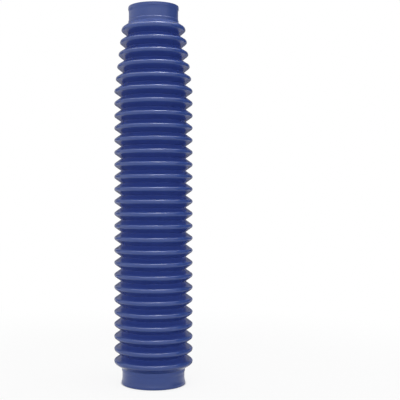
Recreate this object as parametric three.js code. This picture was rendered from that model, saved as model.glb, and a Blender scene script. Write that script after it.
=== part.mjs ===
// A motorbike fork gaiter: one hollow rubber moulding, a folded bellows between two plain cuffs.
// It stands on the rim of its wide lower cuff with its axis along Z, and the origin is at the
// middle of that rim. All sizes are in millimetres, and all radii are measured from the axis.
import * as THREE from "three";

// The bellows
const foldCount = 28;
const foldPitch = 12.21; // from one crest to the next
const crestRadius = 39; // outside of the full-width folds
const foldDepth = 6.85; // from a crest to the valley beside it, on the outside
const wall = 1.6; // thickness of the folded wall

// The uppermost folds step in towards the narrow cuff.
const taperFoldCount = 5;
const topCrestRadius = 31.9;

// Both cuffs
const cuffWall = 1.9;
const lipProud = 0.75; // the rim swells this far beyond the barrel
const lipHeight = 1.9;
const rimChamfer = 0.3;
const collarProud = 0.5; // a low band between the barrel and the end fold

// Lower cuff, which fits over the slider
const lowerBoreRadius = 29;
const lowerLipBlend = 3.3;
const lowerBarrelHeight = 5.5; // plain part that a clip grips
const lowerCollarBlend = 2.4;
const lowerCollarHeight = 3;
const lowerFlankHeight = 6.4; // from the collar to the middle of the lowest crest

// Upper cuff, which fits round the fork tube
const upperBoreRadius = 22.6;
const upperLipBlend = 3.1;
const upperBarrelHeight = 7.9;
const upperCollarBlend = 0.7;
const upperCollarHeight = 3.1;
const upperFlankHeight = 6.5;

const turnSegments = 32;

const point = (radius, height) => new THREE.Vector2(radius, height);

// One cuff's outside. Heights are counted from its rim towards the bellows.
function cuffSection(boreRadius, lipBlend, barrelHeight, collarBlend, collarHeight) {
  const barrelRadius = boreRadius + cuffWall;
  const lipRadius = barrelRadius + lipProud;
  const collarRadius = barrelRadius + collarProud;
  const barrelStart = lipHeight + lipBlend;
  const barrelEnd = barrelStart + barrelHeight;
  const collarStart = barrelEnd + collarBlend;
  const height = collarStart + collarHeight;
  const outside = [
    point(lipRadius - rimChamfer, 0),
    point(lipRadius, rimChamfer),
    point(lipRadius, lipHeight),
    point(barrelRadius, barrelStart),
    point(barrelRadius, barrelEnd),
    point(collarRadius, collarStart),
    point(collarRadius, height),
  ];
  return { boreRadius, collarRadius, height, outside };
}

// The wall folds round a sharp corner on the tight side of every bend. Its open side would be an
// arc, and is drawn as the one flat that touches the arc's middle. This is half that flat's width,
// on the side of the flank that joins a crest to a valley, rise further along the axis.
function halfFlat(crest, valley, rise) {
  const inward = crest - wall - valley;
  const lean = Math.atan2(inward, rise) + Math.asin(wall / Math.hypot(inward, rise));
  return wall * Math.tan(lean / 2);
}

// The flank between a cuff's collar and the crest next to it: the half flat on that crest, and how
// far above the collar's end the inside of the flank meets the bore.
function endFlank(cuff, crest, flankHeight) {
  const flat = halfFlat(crest, cuff.collarRadius, flankHeight);
  const slope = (flankHeight - flat) / (crest - cuff.collarRadius);
  const wallAlongAxis = wall * Math.hypot(1, slope);
  const boreEnd = wallAlongAxis - slope * (cuff.collarRadius - cuff.boreRadius);
  return { flat, boreEnd };
}

const lowerCuff = cuffSection(
  lowerBoreRadius, lowerLipBlend, lowerBarrelHeight, lowerCollarBlend, lowerCollarHeight,
);
const upperCuff = cuffSection(
  upperBoreRadius, upperLipBlend, upperBarrelHeight, upperCollarBlend, upperCollarHeight,
);

// Folds are numbered upwards from 0, and valley n lies between crests n and n + 1.
const topFold = foldCount - 1;
const taperStep = (crestRadius - topCrestRadius) / taperFoldCount;
const foldsIntoTaper = (fold) => Math.max(0, fold - (topFold - taperFoldCount));
const crestRadiusOf = (fold) => crestRadius - taperStep * foldsIntoTaper(fold);
const valleyRadiusOf = (fold) => (crestRadiusOf(fold) + crestRadiusOf(fold + 1)) / 2 - foldDepth;

const lowestCrestHeight = lowerCuff.height + lowerFlankHeight;
const crestHeightOf = (fold) => lowestCrestHeight + fold * foldPitch;
const valleyHeightOf = (fold) => crestHeightOf(fold) + foldPitch / 2;
const bellowsTop = crestHeightOf(topFold) + upperFlankHeight;
const totalHeight = bellowsTop + upperCuff.height;

const lowerFlank = endFlank(lowerCuff, crestRadiusOf(0), lowerFlankHeight);
const upperFlank = endFlank(upperCuff, crestRadiusOf(topFold), upperFlankHeight);

// Half the flat on a crest, or on the inside of a valley, towards the flank that they share.
const halfFlatBetween = (crest, valley) =>
  halfFlat(crestRadiusOf(crest), valleyRadiusOf(valley), foldPitch / 2);

// The outside of the bellows, from the lowest crest to the highest
function bellowsOutside() {
  const points = [];
  for (let fold = 0; fold <= topFold; fold++) {
    const below = fold > 0 ? halfFlatBetween(fold, fold - 1) : lowerFlank.flat;
    const above = fold < topFold ? halfFlatBetween(fold, fold) : upperFlank.flat;
    points.push(point(crestRadiusOf(fold), crestHeightOf(fold) - below));
    points.push(point(crestRadiusOf(fold), crestHeightOf(fold) + above));
    if (fold < topFold) points.push(point(valleyRadiusOf(fold), valleyHeightOf(fold)));
  }
  return points;
}

// The inside of the bellows, one wall in from the outside, also from the bottom upwards
function bellowsInside() {
  const points = [point(crestRadiusOf(0) - wall, crestHeightOf(0))];
  for (let fold = 0; fold < topFold; fold++) {
    const valley = valleyRadiusOf(fold) - wall;
    points.push(point(valley, valleyHeightOf(fold) - halfFlatBetween(fold, fold)));
    points.push(point(valley, valleyHeightOf(fold) + halfFlatBetween(fold + 1, fold)));
    points.push(point(crestRadiusOf(fold + 1) - wall, crestHeightOf(fold + 1)));
  }
  return points;
}

// The whole section: up the outside, over the upper rim, down the inside and back to the start
function gaiterSection() {
  const upperOutside = upperCuff.outside.map((p) => point(p.x, totalHeight - p.y));
  const lowerRim = point(lowerBoreRadius, 0);
  return [
    lowerRim,
    ...lowerCuff.outside,
    ...bellowsOutside(),
    ...upperOutside.reverse(),
    point(upperBoreRadius, totalHeight),
    point(upperBoreRadius, bellowsTop - upperFlank.boreEnd),
    ...bellowsInside().reverse(),
    point(lowerBoreRadius, lowerCuff.height + lowerFlank.boreEnd),
    lowerRim,
  ];
}

const blueRubber = new THREE.MeshStandardMaterial({
  color: 0x35458c,
  roughness: 0.45,
  metalness: 0,
});

const gaiterGeometry = new THREE.LatheGeometry(gaiterSection(), turnSegments);
gaiterGeometry.rotateX(Math.PI / 2); // the lathe turns about Y, and the gaiter stands along Z

const gaiter = new THREE.Mesh(gaiterGeometry, blueRubber);
gaiter.name = "gaiter";

const forkGaiter = new THREE.Group();
forkGaiter.name = "fork_gaiter";
forkGaiter.add(gaiter);

export default forkGaiter;
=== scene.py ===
import math

import bmesh
import bpy
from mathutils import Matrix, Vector, noise


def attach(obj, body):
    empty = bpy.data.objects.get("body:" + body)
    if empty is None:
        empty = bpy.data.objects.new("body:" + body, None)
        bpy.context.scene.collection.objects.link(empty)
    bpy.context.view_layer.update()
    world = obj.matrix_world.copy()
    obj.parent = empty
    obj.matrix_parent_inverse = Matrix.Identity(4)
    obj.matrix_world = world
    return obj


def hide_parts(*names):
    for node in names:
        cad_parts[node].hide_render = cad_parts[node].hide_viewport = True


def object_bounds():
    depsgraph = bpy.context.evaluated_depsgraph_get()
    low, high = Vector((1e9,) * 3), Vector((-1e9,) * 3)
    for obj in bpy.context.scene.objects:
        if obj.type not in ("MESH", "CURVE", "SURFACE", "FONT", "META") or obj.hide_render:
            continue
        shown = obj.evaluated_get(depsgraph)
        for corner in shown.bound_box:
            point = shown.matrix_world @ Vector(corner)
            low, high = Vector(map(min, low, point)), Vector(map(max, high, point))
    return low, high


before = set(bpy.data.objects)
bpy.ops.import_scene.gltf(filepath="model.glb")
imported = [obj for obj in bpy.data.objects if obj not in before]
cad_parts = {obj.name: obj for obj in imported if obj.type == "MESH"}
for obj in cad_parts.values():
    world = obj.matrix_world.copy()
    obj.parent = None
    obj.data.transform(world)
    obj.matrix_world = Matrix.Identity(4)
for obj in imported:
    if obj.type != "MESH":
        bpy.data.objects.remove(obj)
cadLow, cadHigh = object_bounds()
print("frame loaded")

mm = 0.001

# The moulding, in millimetres. Radii are from the axis, heights from the lower rim.
# The crest radius and the whole height come from the frame.
moulding = {
    "crestRadius": cadHigh.x / mm,
    "height": cadHigh.z / mm,
    "foldCount": 28,
    "foldPitch": 12.21,
    "foldDepth": 6.85,
    "lowestCrest": 22.5,
    "crestRound": 2.3,
    "valleyRound": 0.15,
    "wall": 1.5,  # of the folds
    "taperFolds": 5,  # the uppermost ones, which step in
    "topCrestRadius": 31.9,
    "footRound": 0.10,  # where an end flank leaves its collar
    "boreRound": 1.0,  # where a bore meets the inside of its end flank
}

# Outlines of the cuffs: (radius, height counted from the rim, rounding of that corner)
lowerCuff = {
    "bore": 29.0,
    "outline": [
        (29.0, 0.0, 0.35),
        (31.6, 0.0, 0.4),
        (31.6, 2.3, 0.2),
        (31.15, 3.6, 0.3),
        (30.85, 5.6, 3.0),
        (30.85, 10.9, 1.2),
        (31.35, 13.0, 0.8),
    ],
    "collar": 31.35,
    "foot": 15.6,  # height at which the end flank starts
    "crestRound": 3.0,  # of the end flank's side of the nearest crest, which is fuller
}
upperCuff = {
    "bore": 22.6,
    "outline": [
        (22.6, 0.0, 0.35),
        (25.1, 0.0, 0.25),
        (25.15, 3.0, 0.1),
        (24.9, 3.25, 0.1),
        (24.5, 5.4, 2.0),
        (24.5, 13.4, 0.15),
        (25.0, 14.0, 0.3),
    ],
    "collar": 25.0,
    "foot": 16.7,
    "crestRound": 3.3,
}

# How far the rubber strays from a perfect turned shape, and the mould's parting lines
unevenness = {
    "swell": 0.03,  # in and out, mm
    "lean": 0.03,  # up and down, mm
    "leanShift": (7.3, 2.1, 4.9),  # keeps the lean from following the swell
    "aroundScale": 0.9,
    "alongScale": 0.045,  # per mm of height
    "rimReach": 14.0,  # mm over which up and down fades out, so that the rims stay flat
    "seams": (0.0, math.pi),  # at the right and the left
    "seamHeight": 0.14,  # mm
    "seamHalfWidth": 0.22,  # mm at a crest
}

# Points along the section and columns round it
fineness = {
    "crestSteps": 8,
    "valleySteps": 4,
    "footSteps": 3,
    "insideCrestSteps": 2,
    "insideValleySteps": 4,
    "cornerStep": math.radians(22),
    "columns": 116,
    "seamColumns": (-0.8, -0.44, -0.2, 0.0, 0.2, 0.44, 0.8),  # mm from the seam at a crest
    "seamClearance": 1.3,  # even columns stay this many times as far from a seam as its last one
}


def arc(centre, radius, start, end, steps):
    angles = [start + (end - start) * i / steps for i in range(steps + 1)]
    return [centre + radius * Vector((math.cos(a), math.sin(a))) for a in angles]


def roundCorners(corners, first, last):
    # first and last are plain points, and stay out of the result
    line = []
    places = [first] + [Vector(c[:2]) for c in corners] + [last]
    for before, corner, after, (_, _, rounding) in zip(places, places[1:], places[2:], corners):
        toBefore = (before - corner).normalized()
        toAfter = (after - corner).normalized()
        half = toBefore.angle(toAfter) / 2
        centre = corner + (toBefore + toAfter).normalized() * rounding / math.sin(half)
        start = (corner + toBefore * rounding / math.tan(half) - centre).normalized()
        end = (corner + toAfter * rounding / math.tan(half) - centre).normalized()
        steps = max(1, round((math.pi - 2 * half) / fineness["cornerStep"]))
        line += [centre + rounding * start.slerp(end, i / steps) for i in range(steps + 1)]
    return line


# Folds are numbered upwards from 0, and valley n lies between crests n and n + 1.
topFold = moulding["foldCount"] - 1
taperStep = (moulding["crestRadius"] - moulding["topCrestRadius"]) / moulding["taperFolds"]


def crestRadius(fold):
    return moulding["crestRadius"] - taperStep * max(0, fold - (topFold - moulding["taperFolds"]))


def crestHeight(fold):
    return moulding["lowestCrest"] + fold * moulding["foldPitch"]


def crestRounds(fold):
    # of the lower and the upper half of a crest
    below = lowerCuff["crestRound"] if fold == 0 else moulding["crestRound"]
    above = upperCuff["crestRound"] if fold == topFold else moulding["crestRound"]
    return below, above


def crestCentre(fold, half):
    return Vector((crestRadius(fold) - crestRounds(fold)[half], crestHeight(fold)))


def valleyCentre(fold):
    radius = (crestRadius(fold) + crestRadius(fold + 1)) / 2 - moulding["foldDepth"]
    height = (crestHeight(fold) + crestHeight(fold + 1)) / 2
    return Vector((radius + moulding["valleyRound"], height))


def flankLean(fold, half, valley, valleyRound):
    # the angle between a flank's normal and the radius, for a flank that touches both roundings
    crest = crestCentre(fold, half)
    inward, rise = crest.x - valley.x, abs(crest.y - valley.y)
    return math.atan2(inward, rise) + math.asin(
        (crestRounds(fold)[half] + valleyRound) / math.hypot(inward, rise))


def footCentre(cuff):
    height = cuff["foot"] if cuff is lowerCuff else moulding["height"] - cuff["foot"]
    return Vector((cuff["collar"] + moulding["footRound"], height))


# The lean of each flank, from the lower cuff's end flank to the upper cuff's
leans = [flankLean(0, 0, footCentre(lowerCuff), moulding["footRound"])]
for fold in range(topFold):
    leans.append(flankLean(fold, 1, valleyCentre(fold), moulding["valleyRound"]))
    leans.append(flankLean(fold + 1, 0, valleyCentre(fold), moulding["valleyRound"]))
leans.append(flankLean(topFold, 1, footCentre(upperCuff), moulding["footRound"]))


def bellowsLine(inset, crestSteps, valleySteps):
    # inset 0 gives the outside and inset of one wall the inside, both from the bottom upwards
    line = []
    for fold in range(topFold + 1):
        below, above = leans[2 * fold], leans[2 * fold + 1]
        roundBelow, roundAbove = crestRounds(fold)
        line += arc(crestCentre(fold, 0), roundBelow - inset, -below, 0, crestSteps // 2)
        line += arc(crestCentre(fold, 1), roundAbove - inset, 0, above, crestSteps // 2)[1:]
        if fold < topFold:
            start, end = math.pi + above, math.pi - leans[2 * fold + 2]
            line += arc(valleyCentre(fold), moulding["valleyRound"] + inset, start, end, valleySteps)
    return line


def cuffOutside(cuff, lean):
    # from the bore's edge, round the rim and up to the start of the end flank, for a cuff
    # whose rim is at height 0
    collar = cuff["outline"][-1]
    foot = Vector((cuff["collar"], cuff["foot"]))
    line = roundCorners(cuff["outline"], Vector((cuff["bore"], collar[1])), foot)
    centre = Vector((cuff["collar"] + moulding["footRound"], cuff["foot"]))
    start, end = math.pi, math.pi - lean
    return line + arc(centre, moulding["footRound"], start, end, fineness["footSteps"])


def boreEnd(cuff, flankPoint, lean, upwards):
    # the inside of the end flank runs on in a straight line until it meets the bore
    along = (flankPoint.x - cuff["bore"]) / math.sin(lean)
    height = flankPoint.y + upwards * along * math.cos(lean)
    corner = (cuff["bore"], height, moulding["boreRound"])
    rim = Vector((cuff["bore"], height + upwards * 2 * moulding["boreRound"]))
    return roundCorners([corner], rim, flankPoint)


def mirrored(line):
    return [Vector((p.x, moulding["height"] - p.y)) for p in reversed(line)]


# The closed section, up the outside and down the inside
outside = (cuffOutside(lowerCuff, leans[0])
           + bellowsLine(0, fineness["crestSteps"], fineness["valleySteps"])
           + mirrored(cuffOutside(upperCuff, leans[-1])))
folded = bellowsLine(moulding["wall"], fineness["insideCrestSteps"], fineness["insideValleySteps"])
lowerBore = boreEnd(lowerCuff, folded[0], leans[0], -1)
upperBore = boreEnd(upperCuff, folded[-1], leans[-1], 1)
section = outside + upperBore + folded[::-1] + lowerBore[::-1]
print("section has", len(section), "points")


def sectionNormals():
    normals = []
    for i, point in enumerate(section):
        along = section[(i + 1) % len(section)] - section[i - 1]
        normals.append(Vector((along.y, -along.x)).normalized())
    return normals


def fromSeam(angle):
    # the angle between a column and the nearer parting line
    return min(abs(math.remainder(angle - seam, 2 * math.pi)) for seam in unevenness["seams"])


def seamLift(angle):
    # how far the parting lines stand proud at a column, as a rounded ridge
    across = fromSeam(angle) * moulding["crestRadius"] / unevenness["seamHalfWidth"]
    return unevenness["seamHeight"] * math.exp(-across * across)


def columnAngles():
    # even columns, and close ones at the two parting lines
    even = [2 * math.pi * i / fineness["columns"] for i in range(fineness["columns"])]
    close = [seam + offset / moulding["crestRadius"]
             for seam in unevenness["seams"] for offset in fineness["seamColumns"]]
    reach = max(fineness["seamColumns"]) / moulding["crestRadius"]
    apart = [angle for angle in even if fromSeam(angle) > fineness["seamClearance"] * reach]
    return sorted(angle % (2 * math.pi) for angle in apart + close)


def columnPoints(angle, normals):
    # the section at one angle, in metres
    lift = seamLift(angle)
    around = Vector((math.cos(angle), math.sin(angle))) * unevenness["aroundScale"]
    points = []
    for i, point in enumerate(section):
        place = Vector((around.x, around.y, point.y * unevenness["alongScale"]))
        swell = unevenness["swell"] * noise.noise(place)
        lean = unevenness["lean"] * noise.noise(place + Vector(unevenness["leanShift"]))
        fromRim = min(point.y, moulding["height"] - point.y) / unevenness["rimReach"]
        free = max(0.0, min(1.0, fromRim))  # 0 at the rims
        radius = point.x + swell
        height = point.y + lean * free
        if i < len(outside):
            radius += lift * normals[i].x
            height += lift * normals[i].y * free
        radius = min(radius, moulding["crestRadius"] + unevenness["seamHeight"])
        points.append((radius * mm * math.cos(angle), radius * mm * math.sin(angle), height * mm))
    return points


def finishedMesh(mesh, name):
    data = bpy.data.meshes.new(name)
    mesh.to_mesh(data)
    mesh.free()
    return data


def addObject(name, data):
    added = bpy.data.objects.new(name, data)
    bpy.context.scene.collection.objects.link(added)
    return added


def revolve():
    mesh = bmesh.new()
    normals = sectionNormals()
    columns = [[mesh.verts.new(point) for point in columnPoints(angle, normals)]
               for angle in columnAngles()]
    for column, beside in zip(columns, columns[1:] + columns[:1]):
        for i in range(len(section)):
            k = (i + 1) % len(section)
            mesh.faces.new((column[i], beside[i], beside[k], column[k]))
    return finishedMesh(mesh, "gaiter_moulding")


class Value:
    # a socket, whose arithmetic adds Math nodes
    def __init__(self, shader, socket):
        self.shader = shader
        self.socket = socket

    def math(self, operation, first, second):
        return self.shader.node("ShaderNodeMath", {"operation": operation}, {0: first, 1: second})

    def __add__(self, other):
        return self.math("ADD", self, other)

    def __radd__(self, other):
        return self.math("ADD", other, self)

    def __sub__(self, other):
        return self.math("SUBTRACT", self, other)

    def __rsub__(self, other):
        return self.math("SUBTRACT", other, self)

    def __mul__(self, other):
        return self.math("MULTIPLY", self, other)

    def __rmul__(self, other):
        return self.math("MULTIPLY", other, self)

    def __truediv__(self, other):
        return self.math("DIVIDE", self, other)

    def __rtruediv__(self, other):
        return self.math("DIVIDE", other, self)


class Shader:
    def __init__(self, tree):
        self.tree = tree
        tree.nodes.clear()

    def node(self, kind, settings=None, sockets=None, output=0):
        made = self.tree.nodes.new(kind)
        for name, setting in (settings or {}).items():
            setattr(made, name, setting)
        for name, given in (sockets or {}).items():
            if isinstance(given, Value):
                self.tree.links.new(given.socket, made.inputs[name])
            else:
                made.inputs[name].default_value = given
        return Value(self, made.outputs[output]) if made.outputs else None

    def larger(self, first, second):
        return self.node("ShaderNodeMath", {"operation": "MAXIMUM"}, {0: first, 1: second})

    def mixColour(self, factor, first, second):
        # a Mix node's colours are its inputs 6 and 7 and its output 2
        return self.node("ShaderNodeMix", {"data_type": "RGBA"},
                         {0: factor, 6: first, 7: second}, 2)

    def stretch(self, factor, low, high):
        # factor from low to high becomes 0 to 1, eased at both ends
        return self.node("ShaderNodeMapRange", {"interpolation_type": "SMOOTHSTEP"},
                         {"Value": factor, "From Min": low, "From Max": high})

    def noise(self, vector, scale, detail):
        return self.node("ShaderNodeTexNoise", None,
                         {"Vector": vector, "Scale": scale, "Detail": detail})

    def ray(self, kind):
        # 1 for a ray of this kind and 0 for any other
        return self.node("ShaderNodeLightPath", None, None, kind)

    def onlySeen(self, light):
        # strength 1 where it is seen or reflected, and light for what it sheds on the gaiter
        whole = (self.ray("Is Camera Ray") + self.ray("Is Glossy Ray")
                 + self.ray("Is Transmission Ray"))
        return light + (1 - light) * whole


def newMaterial(name):
    material = bpy.data.materials.new(name)
    material.use_nodes = True
    return material, Shader(material.node_tree)


# Colours are linear. The folds' outer edges, the end flanks and both cuffs have a slight pale bloom
# that is partly painted sheen, and the valleys a lighter colour that is painted light in their
# shade.
rubber = {
    "blue": (0.031, 0.057, 0.262, 1.0),
    "deep": (0.028, 0.052, 0.248, 1.0),
    "mottleScale": 70.0,
    "mottleDetail": 4.0,
    "allDeep": 0.3,  # mottle at which the colour is all deep, and all blue
    "allBlue": 0.7,
    # painted light: a lighter colour in the valleys that brightens the shade between the folds
    "valley": (0.036, 0.067, 0.295, 1.0),
    "valleyLightFrom": 0.28,  # where this painted light starts and is full, in pitches from a crest
    "valleyLightTo": 0.46,
    # pale bloom that is partly painted sheen: paler and greener on the crests, the end flanks and
    # the cuffs
    "bloomAndSheen": (0.034, 0.074, 0.285, 1.0),
    "bloomAndSheenFrom": 0.50,  # where it starts and is full, as a share of the way from valley to crest
    "bloomAndSheenTo": 0.75,
    "bloomAndSheenEven": 0.6,  # its even part, and the part that follows the mottle
    "bloomAndSheenMottled": 0.4,
    "endShort": 2.0,  # mm below the upper flank's foot, where the cuff's roughness and its bloom with painted sheen are already full
    "grainScale": 2600.0,
    "grainDetail": 2.0,
    "ringScale": 1500.0,
    "ringDetail": 3.0,
    "ringFlattening": (0.006, 0.006, 1.0),  # draws a noise out into fine rings round the axis
    "roughness": 0.20,
    "roughnessSpread": 0.04,  # with the mottle
    "grainSpread": 0.06,
    "cuffRoughness": 0.12,  # what the cuffs have more
    "grainRelief": 0.15,
    "ringRelief": 0.1,
    "bumpStrength": 0.12,
    "bumpDistance": 0.00012,
    "ior": 1.5,
}


def blueRubber():
    material, shader = newMaterial("blueRubber")
    place = shader.node("ShaderNodeTexCoord", None, None, "Object")
    height = shader.node("ShaderNodeSeparateXYZ", None, {0: place}, "Z")

    # away goes from 0 on a crest to half a pitch in a valley, and ends from 0 at the outermost
    # crests to 1 at the cuffs
    fold = (height - moulding["lowestCrest"] * mm) / (moulding["foldPitch"] * mm)
    away = shader.node("ShaderNodeMath", {"operation": "PINGPONG"}, {0: fold, 1: 0.5})
    upperFoot = moulding["height"] - upperCuff["foot"]
    ends = (shader.stretch(height, moulding["lowestCrest"] * mm, lowerCuff["foot"] * mm)
            + shader.stretch(height, crestHeight(topFold) * mm,
                             (upperFoot - rubber["endShort"]) * mm))
    # masks for the painted sheen on the crests and ends, and for the painted light in the valleys
    crest = shader.larger(
        shader.stretch(1 - 2 * away, rubber["bloomAndSheenFrom"], rubber["bloomAndSheenTo"]), ends)
    valley = shader.stretch(away, rubber["valleyLightFrom"], rubber["valleyLightTo"]) * (1 - ends)

    mottle = shader.noise(place, rubber["mottleScale"], rubber["mottleDetail"])
    grain = shader.noise(place, rubber["grainScale"], rubber["grainDetail"])
    flattened = shader.node("ShaderNodeVectorMath", {"operation": "MULTIPLY"},
                            {0: place, 1: rubber["ringFlattening"]})
    rings = shader.noise(flattened, rubber["ringScale"], rubber["ringDetail"])

    colour = shader.mixColour(shader.stretch(mottle, rubber["allDeep"], rubber["allBlue"]),
                              rubber["deep"], rubber["blue"])
    # painted light in the valleys, then the bloom with its painted sheen
    colour = shader.mixColour(valley, colour, rubber["valley"])
    bloomAndSheen = crest * (rubber["bloomAndSheenEven"] + rubber["bloomAndSheenMottled"] * mottle)
    colour = shader.mixColour(bloomAndSheen, colour, rubber["bloomAndSheen"])

    # the noises lie round 0.5
    spread = rubber["roughnessSpread"]
    rough = rubber["roughness"] - spread / 2 + spread * mottle
    rough = rough + rubber["grainSpread"] * (grain - 0.5)
    rough = rough + rubber["cuffRoughness"] * ends

    relief = rubber["grainRelief"] * grain + rubber["ringRelief"] * rings
    bump = shader.node("ShaderNodeBump", None, {
        "Strength": rubber["bumpStrength"], "Distance": rubber["bumpDistance"], "Height": relief})

    surface = shader.node("ShaderNodeBsdfPrincipled", None, {
        "Base Color": colour, "Roughness": rough, "Normal": bump, "IOR": rubber["ior"]})
    shader.node("ShaderNodeOutputMaterial", None, {"Surface": surface})
    return material


gaiter = addObject("gaiter_moulding", revolve())
for face in gaiter.data.polygons:
    face.use_smooth = True
gaiter.data.materials.append(blueRubber())
gaiter.modifiers.new("flatFlanks", "WEIGHTED_NORMAL")
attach(gaiter, "root")
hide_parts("gaiter")
print("gaiter made,", 2 * len(gaiter.data.polygons), "triangles")


# The floor and the sky. Near the gaiter the floor is lit like it, and further off it runs out
# into plain white. Distances are from the axis, in metres, and each change has its start and end.
studio = {
    "white": (1.0, 1.0, 1.0, 1.0),
    "floorRadius": 4.0,
    "floorSides": 96,
    "floorColour": (0.90, 0.90, 0.90, 1.0),  # as it is seen or reflected
    "shadedNearBounce": (0.35, 0.35, 0.35, 1.0),  # as it throws light up: darker near the gaiter, which is painted shade, and lighter far off
    "farBounce": (0.90, 0.90, 0.90, 1.0),
    "bounceFrom": 0.05,
    "bounceTo": 0.30,
    "contactFrom": 0.0312,  # the dark seam round the lower rim, as the camera sees it
    "contactTo": 0.0332,
    "mirroredFrom": 0.030,  # and as the gaiter reflects it
    "mirroredTo": 0.038,
    "shadowFrom": 0.20,  # from lit floor to plain white
    "shadowTo": 0.55,
    "floorGlow": 0.88,  # how much of the plain white the camera sees outside the dark seam
    "farFloorLight": 0.4,  # what the plain white sheds on the gaiter
    "overheadSky": 0.42,  # what the sky sheds on it from overhead, and level with it
    "horizonSky": 1.55,
    "horizonReach": 0.6,  # sine of the elevation above which all is as overhead
}


def floorMaterial():
    material, shader = newMaterial("paleFloor")
    place = shader.node("ShaderNodeTexCoord", None, None, "Object")
    distance = shader.node("ShaderNodeVectorMath", {"operation": "LENGTH"}, {0: place}, "Value")

    # painted shade: near the gaiter the floor throws less light up
    bounce = shader.mixColour(shader.stretch(distance, studio["bounceFrom"], studio["bounceTo"]),
                              studio["shadedNearBounce"], studio["farBounce"])
    shade = shader.mixColour(shader.onlySeen(0.0), bounce, studio["floorColour"])
    lit = shader.node("ShaderNodeBsdfPrincipled", None, {
        "Base Color": shade, "Roughness": 1.0, "Specular IOR Level": 0.0})
    white = shader.node("ShaderNodeEmission", None, {
        "Color": studio["white"], "Strength": shader.onlySeen(studio["farFloorLight"])})

    far = shader.stretch(distance, studio["shadowFrom"], studio["shadowTo"])
    reflected = (shader.ray("Is Glossy Ray")
                 * shader.stretch(distance, studio["mirroredFrom"], studio["mirroredTo"]))
    seen = (shader.ray("Is Camera Ray")
            * shader.stretch(distance, studio["contactFrom"], studio["contactTo"]))
    glow = studio["floorGlow"] * seen
    whiteness = glow + (1 - glow) * shader.larger(far, reflected)
    surface = shader.node("ShaderNodeMixShader", None, {0: whiteness, 1: lit, 2: white})
    shader.node("ShaderNodeOutputMaterial", None, {"Surface": surface})
    return material


def makeFloor():
    mesh = bmesh.new()
    bmesh.ops.create_circle(mesh, cap_ends=True, segments=studio["floorSides"],
                            radius=studio["floorRadius"])
    floor = addObject("floor", finishedMesh(mesh, "floor"))
    floor.data.materials.append(floorMaterial())


def makeSky():
    world = bpy.data.worlds.new("studioWorld")
    bpy.context.scene.world = world
    world.use_nodes = True
    shader = Shader(world.node_tree)
    direction = shader.node("ShaderNodeTexCoord", None, None, "Generated")
    rise = shader.node("ShaderNodeSeparateXYZ", None, {0: direction}, "Z")
    level = shader.stretch(rise * rise, studio["horizonReach"] ** 2, 0.0)
    sky = studio["overheadSky"] + (studio["horizonSky"] - studio["overheadSky"]) * level
    background = shader.node("ShaderNodeBackground", None, {
        "Color": studio["white"], "Strength": shader.onlySeen(sky)})
    shader.node("ShaderNodeOutputWorld", None, {"Surface": background})


# Soft boxes: where each stands, its sides in metres, its power in watts, and whether it lights
# the gaiter or is only reflected in it. All point at one place on the axis.
lampAim = (0.0, 0.0, 0.2)
lamps = {
    "overhead": {"at": (0.20, -0.34, 2.9), "sides": (1.5, 0.7), "watts": 18.0, "lights": True},
    "sheen": {"at": (0.50, -0.34, 2.92), "sides": (1.3, 0.7), "watts": 36.0, "lights": False},
    "wideOverhead": {"at": (0.20, -0.34, 2.95), "sides": (5.0, 0.7), "watts": 50.0,
                     "lights": False},
    "leftOverhead": {"at": (-1.3, 0.35, 2.93), "sides": (1.7, 1.2), "watts": 21.0,
                     "lights": False},
    "front": {"at": (0.05, -1.5, 0.70), "sides": (1.8, 0.8), "watts": 1.8, "lights": True},
}


def makeLamps():
    for name, lamp in lamps.items():
        light = bpy.data.lights.new(name, "AREA")
        light.shape = "RECTANGLE"
        light.size, light.size_y = lamp["sides"]
        light.energy = lamp["watts"]
        holder = addObject(name, light)
        holder.location = lamp["at"]
        aim = Vector(lampAim) - Vector(lamp["at"])
        holder.rotation_euler = aim.to_track_quat("-Z", "Y").to_euler()
        holder.visible_diffuse = lamp["lights"]


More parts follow.
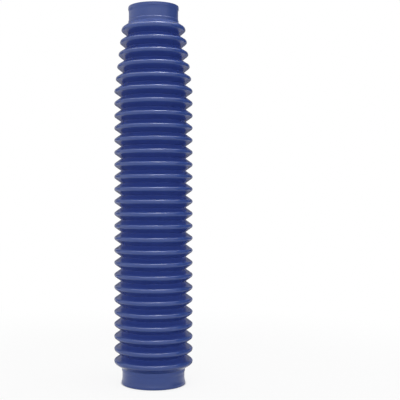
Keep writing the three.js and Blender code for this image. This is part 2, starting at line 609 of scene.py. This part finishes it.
# Dark and grey cards that only show as reflections. Each is a line of distances and heights in
# metres, carried round the axis between two bearings in degrees, which count from the front
# towards the right.
cardPanels = 12
backLine = ((0.33, 0.002), (1.5, 0.002), (1.5, 1.8))
cards = {
    "rightCard": {"from": 68.0, "to": 120.0, "grey": 0.04,
                  "line": ((0.5, 0.002), (0.7, 0.002), (0.7, 0.9))},
    "rightFloor": {"from": 68.0, "to": 140.0, "grey": 0.60, "line": ((0.05, 0.002), (0.5, 0.002))},
    "sideCard": {"from": 120.0, "to": 146.0, "grey": 0.05, "line": ((0.7, 0.08), (0.7, 0.9))},
    "leftCard": {"from": 216.0, "to": 244.0, "grey": 0.25, "line": ((0.7, 0.08), (0.7, 0.5))},
    "backCard": {"from": 160.0, "to": 200.0, "grey": 0.25, "line": backLine},
    "backRight": {"from": 148.0, "to": 160.0, "grey": 0.44, "line": backLine},
    "backLeft": {"from": 200.0, "to": 212.0, "grey": 0.58, "line": backLine},
    "backFloor": {"from": 120.0, "to": 228.0, "grey": 0.08, "line": ((0.05, 0.003), (0.33, 0.003))},
    "backHigh": {"from": 136.0, "to": 228.0, "grey": 0.08, "line": ((1.52, 0.9), (1.52, 1.8))},
}


def cardMesh(name, card):
    mesh = bmesh.new()
    rows = []
    for i in range(cardPanels + 1):
        bearing = math.radians(card["from"] + (card["to"] - card["from"]) * i / cardPanels)
        side, front = math.sin(bearing), -math.cos(bearing)
        rows.append([mesh.verts.new((away * side, away * front, height))
                     for away, height in card["line"]])
    for row, following in zip(rows, rows[1:]):
        for i in range(len(row) - 1):
            mesh.faces.new((row[i], following[i], following[i + 1], row[i + 1]))
    return finishedMesh(mesh, name)


def makeCards():
    for name, card in cards.items():
        material, shader = newMaterial(name)
        grey = card["grey"]
        plain = shader.node("ShaderNodeEmission", None, {"Color": (grey, grey, grey, 1.0)})
        shader.node("ShaderNodeOutputMaterial", None, {"Surface": plain})
        holder = addObject(name, cardMesh(name, card))
        holder.data.materials.append(material)
        holder.visible_camera = False
        holder.visible_diffuse = False
        holder.visible_shadow = False


# The camera looks level along +Y. Pixels are the photograph's.
picture = {
    "side": 400,  # pixels, both ways
    "distance": 0.785,  # at which one pixel is one millimetre
    "eyeLevel": 0.189,
    "axisAt": 153.46,  # the gaiter's axis and the horizon, in pixels
    "horizonAt": 193.63,
    "sensor": 36.0,
}


def makeCamera():
    lens = bpy.data.cameras.new("camera")
    lens.sensor_width = picture["sensor"]
    lens.lens = picture["sensor"] * picture["distance"] / (picture["side"] * mm)
    lens.shift_x = 0.5 - picture["axisAt"] / picture["side"]
    lens.shift_y = picture["horizonAt"] / picture["side"] - 0.5
    camera = addObject("camera", lens)
    camera.location = (0.0, -picture["distance"], picture["eyeLevel"])
    camera.rotation_euler = (math.pi / 2, 0.0, 0.0)
    bpy.context.scene.camera = camera


makeFloor()
makeSky()
makeLamps()
makeCards()
makeCamera()
bpy.context.scene.view_settings.view_transform = "Standard"
print("studio made")
